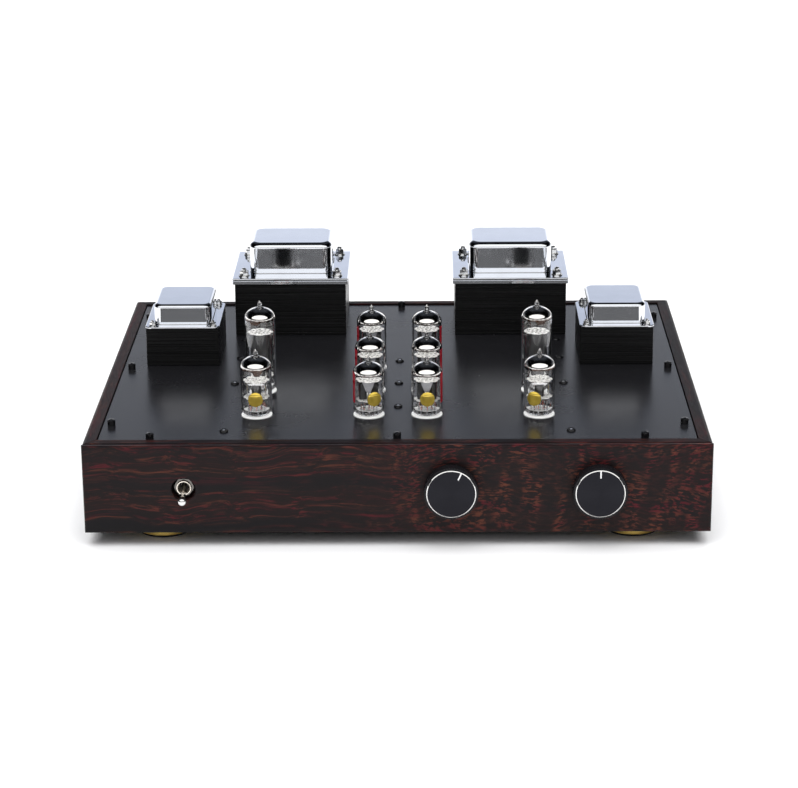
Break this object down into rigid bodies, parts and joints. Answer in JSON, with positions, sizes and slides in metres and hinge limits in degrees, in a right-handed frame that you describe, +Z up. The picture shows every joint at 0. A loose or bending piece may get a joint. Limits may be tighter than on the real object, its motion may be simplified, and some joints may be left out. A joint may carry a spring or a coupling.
{
  "type": "tube amplifier",
  "caption": "Stereo valve amplifier: dark wooden frame, black top plate with plug-in valves and chrome-capped transformers, turning front knobs, toggle switch and rear sockets.",
  "frame": {"origin": "middle of the whole footprint, on the surface that the feet stand on", "axes": "+X to the right seen from the front and along the longest side, +Y from the front to the rear, +Z up"},
  "size_m": [0.4316, 0.377, 0.1427],
  "materials": {
    "wood": "satin",
    "black_plate": "satin",
    "black_steel": "satin",
    "gold_foot": "satin",
    "laminations": "gloss",
    "winding": "satin",
    "chrome": "polished",
    "valve_glass": "polished",
    "white_ceramic": "gloss",
    "black_knob": "satin",
    "steel": "satin",
    "lever_chrome": "polished",
    "circuit_board": "satin",
    "capacitor_sleeve": "gloss",
    "black_plastic": "satin"
  },
  "bodies": {
    "chassis": {"front_fascia": "wood", "front_board": "wood", "left_side_board": "wood", "right_side_board": "wood", "rear_board": "wood", "top_plate": "black_plate", "rear_plate": "black_plate", "bottom_plate": "black_steel", "foot_front_left": "gold_foot", "foot_front_right": "gold_foot", "foot_rear_left": "gold_foot", "foot_rear_right": "gold_foot", "power_transformer_left_core": "laminations", "power_transformer_right_core": "laminations", "output_transformer_left_core": "laminations", "output_transformer_right_core": "laminations", "power_transformer_left_coil": "winding", "power_transformer_right_coil": "winding", "output_transformer_left_coil": "winding", "output_transformer_right_coil": "winding", "power_transformer_left_cover": "chrome", "power_transformer_right_cover": "chrome", "output_transformer_left_cover": "chrome", "output_transformer_right_cover": "chrome", "input_socket_left": "white_ceramic", "phase_socket_left": "white_ceramic", "gain_socket_left": "white_ceramic", "driver_socket_left": "white_ceramic", "output_socket_left": "white_ceramic", "input_socket_right": "white_ceramic", "phase_socket_right": "white_ceramic", "gain_socket_right": "white_ceramic", "driver_socket_right": "white_ceramic", "output_socket_right": "white_ceramic", "volume_potentiometer": "steel", "selector_switch": "steel", "toggle_switch": "steel", "toggle_nut": "lever_chrome", "circuit_board": "circuit_board", "filter_capacitor_left": "capacitor_sleeve", "filter_capacitor_right": "capacitor_sleeve", "mains_inlet": "black_plastic", "input_jacks": "black_plastic", "speaker_sockets_left": "black_plastic", "speaker_sockets_right": "black_plastic"},
    "volume_control": {"volume_knob": "black_knob", "volume_shaft": "steel"},
    "selector_control": {"selector_knob": "black_knob", "selector_shaft": "steel"},
    "mains_lever": {"toggle_lever": "lever_chrome"},
    "input_valve_left": {"input_valve_left": "valve_glass"},
    "phase_valve_left": {"phase_valve_left": "valve_glass"},
    "gain_valve_left": {"gain_valve_left": "valve_glass"},
    "driver_valve_left": {"driver_valve_left": "valve_glass"},
    "output_valve_left": {"output_valve_left": "valve_glass"},
    "input_valve_right": {"input_valve_right": "valve_glass"},
    "phase_valve_right": {"phase_valve_right": "valve_glass"},
    "gain_valve_right": {"gain_valve_right": "valve_glass"},
    "driver_valve_right": {"driver_valve_right": "valve_glass"},
    "output_valve_right": {"output_valve_right": "valve_glass"}
  },
  "joints": [
    {"name": "volume_turn", "type": "hinge", "parent": "chassis", "child": "volume_control", "pos_m": [0.037, -0.17393, 0.0422], "axis": [0, 1, 0], "range_deg": [-174.5, 125.5]},
    {"name": "selector_turn", "type": "hinge", "parent": "chassis", "child": "selector_control", "pos_m": [0.1386, -0.17393, 0.0422], "axis": [0, 1, 0], "range_deg": [-30, 30]},
    {"name": "mains_toggle", "type": "hinge", "parent": "chassis", "child": "mains_lever", "pos_m": [-0.1466, -0.16593, 0.0422], "axis": [-1, 0, 0], "range_deg": [0, 25]},
    {"name": "input_valve_left_lift", "type": "slide", "parent": "chassis", "child": "input_valve_left", "axis": [0, 0, 1], "range_m": [0, 0.012]},
    {"name": "phase_valve_left_lift", "type": "slide", "parent": "chassis", "child": "phase_valve_left", "axis": [0, 0, 1], "range_m": [0, 0.012]},
    {"name": "gain_valve_left_lift", "type": "slide", "parent": "chassis", "child": "gain_valve_left", "axis": [0, 0, 1], "range_m": [0, 0.012]},
    {"name": "driver_valve_left_lift", "type": "slide", "parent": "chassis", "child": "driver_valve_left", "axis": [0, 0, 1], "range_m": [0, 0.012]},
    {"name": "output_valve_left_lift", "type": "slide", "parent": "chassis", "child": "output_valve_left", "axis": [0, 0, 1], "range_m": [0, 0.012]},
    {"name": "input_valve_right_lift", "type": "slide", "parent": "chassis", "child": "input_valve_right", "axis": [0, 0, 1], "range_m": [0, 0.012]},
    {"name": "phase_valve_right_lift", "type": "slide", "parent": "chassis", "child": "phase_valve_right", "axis": [0, 0, 1], "range_m": [0, 0.012]},
    {"name": "gain_valve_right_lift", "type": "slide", "parent": "chassis", "child": "gain_valve_right", "axis": [0, 0, 1], "range_m": [0, 0.012]},
    {"name": "driver_valve_right_lift", "type": "slide", "parent": "chassis", "child": "driver_valve_right", "axis": [0, 0, 1], "range_m": [0, 0.012]},
    {"name": "output_valve_right_lift", "type": "slide", "parent": "chassis", "child": "output_valve_right", "axis": [0, 0, 1], "range_m": [0, 0.012]}
  ]
}
